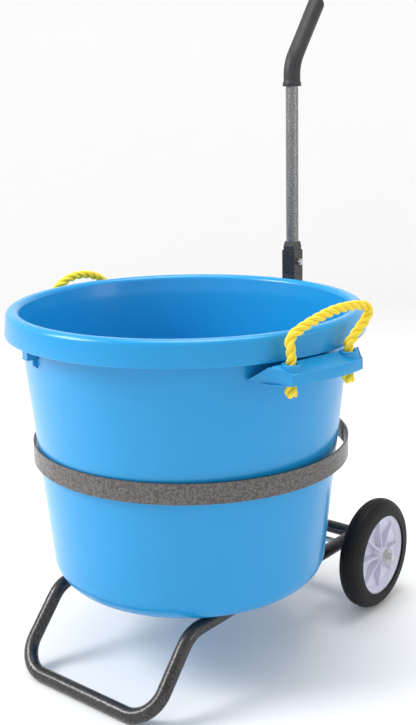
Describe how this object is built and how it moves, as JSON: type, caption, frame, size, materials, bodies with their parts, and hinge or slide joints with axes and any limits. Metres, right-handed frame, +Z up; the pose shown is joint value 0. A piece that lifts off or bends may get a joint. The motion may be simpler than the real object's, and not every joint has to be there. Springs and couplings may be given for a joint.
{
  "type": "wash bucket on a wheeled cart",
  "caption": "Round blue wash tub with yellow rope handles, held by a strap hoop on a two-wheeled tubular steel cart with a square post and a bent pull handle.",
  "frame": {"origin": "on the ground, under the middle of the overall box: midway across the cart and midway between the front of the rim and the back of the hand grip", "axes": "+X across the cart to the right wheel, +Y from the foot towards the pull handle, +Z up"},
  "size_m": [0.614, 0.6449, 1.0152],
  "materials": {
    "tub_plastic": "glossy blue polyethylene",
    "rope_yarn": "three-strand yellow rope",
    "frame_paint": "dark silver hammered paint",
    "hoop_paint": "bronze grey hammered paint",
    "zinc": "bright zinc plate",
    "grip_rubber": "smooth dark rubber",
    "tyre_rubber": "moulded black rubber",
    "hub_plastic": "moulded off-white plastic",
    "cap_plastic": "black moulded plastic"
  },
  "bodies": {
    "cart": {"foot_tube": "frame_paint", "side_rail_right": "frame_paint", "side_rail_left": "frame_paint", "rail_end_caps": "cap_plastic", "rear_cross_tube": "frame_paint", "axle_bracket_right": "frame_paint", "axle_bracket_left": "frame_paint", "hoop_band": "hoop_paint", "hoop_bolt": "zinc", "hoop_nut": "zinc", "post": "frame_paint", "handle_insert": "frame_paint", "handle_tube": "frame_paint", "hand_grip": "grip_rubber", "socket_bolt": "zinc", "socket_nut": "zinc", "axle_rod": "zinc", "axle_spacers": "zinc", "axle_washers": "zinc", "hairpin_clips": "zinc"},
    "tub": {"tub": "tub_plastic", "rope_knots_right": "rope_yarn", "rope_knots_left": "rope_yarn"},
    "rope_handle_right": {"rope_right": "rope_yarn"},
    "rope_handle_left": {"rope_left": "rope_yarn"},
    "wheel_right": {"hub_right": "hub_plastic", "tyre_right": "tyre_rubber"},
    "wheel_left": {"hub_left": "hub_plastic", "tyre_left": "tyre_rubber"}
  },
  "joints": [
    {"name": "tub_lift", "type": "slide", "parent": "cart", "child": "tub", "axis": [0, 0, 1], "range_m": [0, 0.45]},
    {"name": "rope_right_fold", "type": "hinge", "parent": "tub", "child": "rope_handle_right", "pos_m": [0.27946, -0.10327, 0.519], "axis": [0.1874, 0.9823, 0], "range_deg": [-12, 80]},
    {"name": "rope_left_fold", "type": "hinge", "parent": "tub", "child": "rope_handle_left", "pos_m": [-0.27946, 0.00335, 0.519], "axis": [-0.1874, -0.9823, 0], "range_deg": [-12, 80]},
    {"name": "wheel_right_spin", "type": "hinge", "parent": "cart", "child": "wheel_right", "pos_m": [0.175, 0.22254, 0.092], "axis": [1, 0, 0], "continuous": true},
    {"name": "wheel_left_spin", "type": "hinge", "parent": "cart", "child": "wheel_left", "pos_m": [-0.175, 0.22254, 0.092], "axis": [1, 0, 0], "continuous": true}
  ]
}
